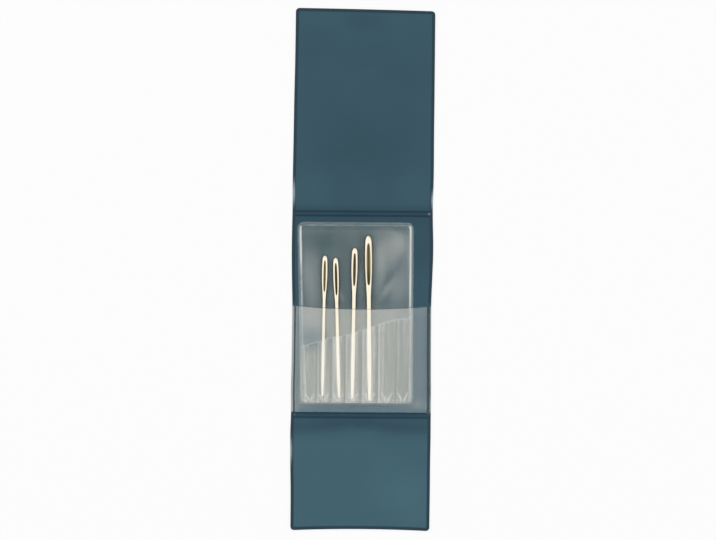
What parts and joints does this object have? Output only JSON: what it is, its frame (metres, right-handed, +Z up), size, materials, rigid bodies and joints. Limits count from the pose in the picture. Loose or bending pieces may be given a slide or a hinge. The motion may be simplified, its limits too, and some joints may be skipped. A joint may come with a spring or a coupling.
{
  "type": "yarn needle set in a folding wallet",
  "caption": "Long-eyed blunt yarn needles in the welded channels of a clear insert, kept behind the frosted pocket of a flat folding vinyl wallet.",
  "frame": {"origin": "middle of the open wallet's underside", "axes": "+X across the wallet, +Y along it towards the long flap, +Z up out of the lining"},
  "size_m": [0.06, 0.224, 0.0041],
  "materials": {
    "cover_vinyl": "satin teal vinyl sheet",
    "lining_vinyl": "satin teal vinyl sheet",
    "frosted_film": "frosted translucent vinyl film",
    "clear_film": "clear glossy vinyl film",
    "gilt_steel": "polished gold-coloured plating on steel"
  },
  "bodies": {
    "middle_panel": {"middle_cover": "cover_vinyl", "middle_lining": "lining_vinyl", "pocket_film": "frosted_film"},
    "upper_fold": {"upper_fold_strip": "lining_vinyl"},
    "long_flap": {"long_flap_cover": "cover_vinyl", "long_flap_lining": "lining_vinyl"},
    "lower_fold": {"lower_fold_strip": "lining_vinyl"},
    "short_flap": {"short_flap_cover": "cover_vinyl", "short_flap_lining": "lining_vinyl"},
    "insert": {"insert_back_film": "clear_film", "insert_channel_film": "clear_film"},
    "needle_1_body": {"needle_1": "gilt_steel"},
    "needle_2_body": {"needle_2": "gilt_steel"},
    "needle_3_body": {"needle_3": "gilt_steel"},
    "needle_4_body": {"needle_4": "gilt_steel"}
  },
  "joints": [
    {"name": "upper_fold_near", "type": "hinge", "parent": "middle_panel", "child": "upper_fold", "pos_m": [0, 0.0232, 0.00055], "axis": [-1, 0, 0], "range_deg": [-90, 0]},
    {"name": "upper_fold_far", "type": "hinge", "parent": "upper_fold", "child": "long_flap", "pos_m": [0, 0.02805, 0.00055], "axis": [-1, 0, 0], "range_deg": [-90, 0]},
    {"name": "lower_fold_near", "type": "hinge", "parent": "middle_panel", "child": "lower_fold", "pos_m": [0, -0.062, 0.00055], "axis": [1, 0, 0], "range_deg": [-90, 0]},
    {"name": "lower_fold_far", "type": "hinge", "parent": "lower_fold", "child": "short_flap", "pos_m": [0, -0.06595, 0.00055], "axis": [1, 0, 0], "range_deg": [-90, 0]},
    {"name": "insert_slide", "type": "slide", "parent": "middle_panel", "child": "insert", "axis": [0, 1, 0], "range_m": [0, 0.045]},
    {"name": "needle_1_slide", "type": "slide", "parent": "insert", "child": "needle_1_body", "axis": [0.0122, 0.9999, 0], "range_m": [0, 0.0265]},
    {"name": "needle_2_slide", "type": "slide", "parent": "insert", "child": "needle_2_body", "axis": [-0.0314, 0.9995, 0], "range_m": [0, 0.0285]},
    {"name": "needle_3_slide", "type": "slide", "parent": "insert", "child": "needle_3_body", "axis": [0.0105, 0.9999, 0], "range_m": [0, 0.0305]},
    {"name": "needle_4_slide", "type": "slide", "parent": "insert", "child": "needle_4_body", "axis": [-0.014, 0.9999, 0], "range_m": [0, 0.0335]}
  ]
}
